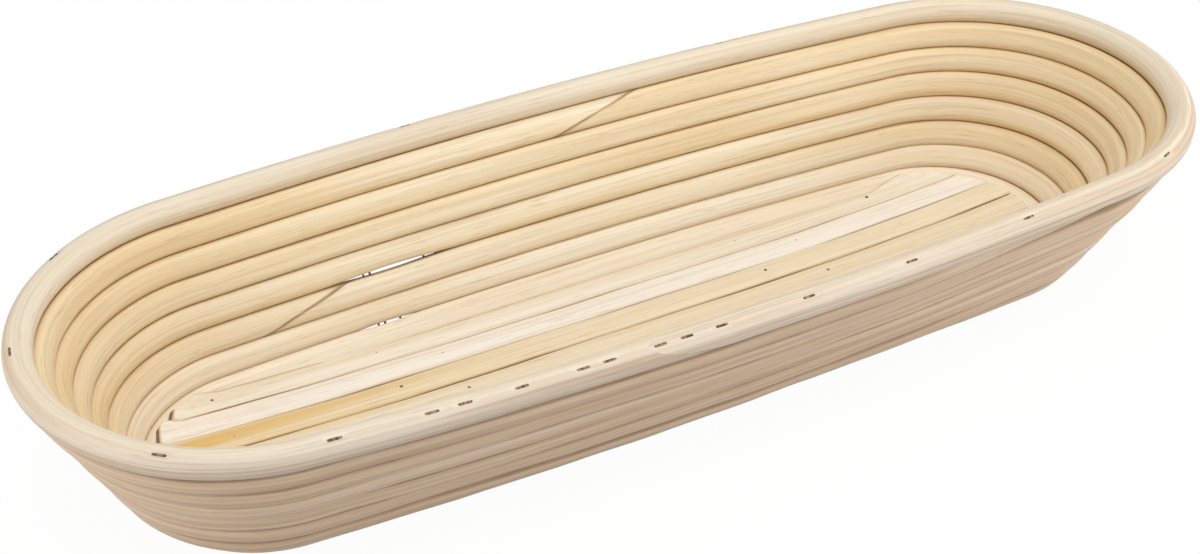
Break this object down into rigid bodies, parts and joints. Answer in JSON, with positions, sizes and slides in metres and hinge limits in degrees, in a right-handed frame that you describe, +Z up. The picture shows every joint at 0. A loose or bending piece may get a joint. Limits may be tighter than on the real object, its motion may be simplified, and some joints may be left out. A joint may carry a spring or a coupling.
{
  "type": "proofing basket",
  "caption": "Long oval bread proofing basket wound from round cane, with a stapled rim hoop and a slatted floor on cross strips.",
  "frame": {"origin": "under the middle of the basket, on the surface that it stands on", "axes": "+X along the basket's length, +Y across it towards the long side without the rim's joint, +Z up"},
  "size_m": [0.3997, 0.1496, 0.06],
  "materials": {
    "cane": "raw peeled rattan cane",
    "rim_cane": "raw peeled rattan cane, paler",
    "slat_cane": "split cane, smooth",
    "strip_cane": "split cane, rough",
    "brad_steel": "dull, browned",
    "staple_steel": "dull, browned"
  },
  "bodies": {
    "root": {"lower_cane": "cane", "middle_cane": "cane", "upper_cane": "cane", "rim_cane": "rim_cane", "floor_slat_1": "slat_cane", "floor_slat_2": "slat_cane", "floor_slat_3": "slat_cane", "floor_slat_4": "slat_cane", "floor_slat_5": "slat_cane", "floor_slat_6": "slat_cane", "floor_slat_7": "slat_cane", "cross_strip_1": "strip_cane", "cross_strip_2": "strip_cane", "cross_strip_3": "strip_cane", "cross_strip_4": "strip_cane", "floor_brad_01": "brad_steel", "floor_brad_02": "brad_steel", "floor_brad_03": "brad_steel", "floor_brad_04": "brad_steel", "floor_brad_05": "brad_steel", "floor_brad_06": "brad_steel", "floor_brad_07": "brad_steel", "floor_brad_08": "brad_steel", "floor_brad_09": "brad_steel", "floor_brad_10": "brad_steel", "floor_brad_11": "brad_steel", "floor_brad_12": "brad_steel", "floor_brad_13": "brad_steel", "floor_brad_14": "brad_steel", "floor_brad_15": "brad_steel", "floor_brad_16": "brad_steel", "floor_brad_17": "brad_steel", "floor_brad_18": "brad_steel", "floor_brad_19": "brad_steel", "floor_brad_20": "brad_steel", "floor_brad_21": "brad_steel", "floor_brad_22": "brad_steel", "rim_staple_01": "staple_steel", "rim_staple_02": "staple_steel", "rim_staple_03": "staple_steel", "rim_staple_04": "staple_steel", "rim_staple_05": "staple_steel", "rim_staple_06": "staple_steel", "rim_staple_07": "staple_steel", "rim_staple_08": "staple_steel", "rim_staple_09": "staple_steel", "rim_staple_10": "staple_steel", "rim_staple_11": "staple_steel", "rim_staple_12": "staple_steel", "rim_staple_13": "staple_steel", "rim_staple_14": "staple_steel", "rim_staple_15": "staple_steel", "rim_staple_16": "staple_steel", "rim_staple_17": "staple_steel", "rim_staple_18": "staple_steel", "rim_staple_19": "staple_steel", "rim_staple_20": "staple_steel"}
  },
  "joints": []
}
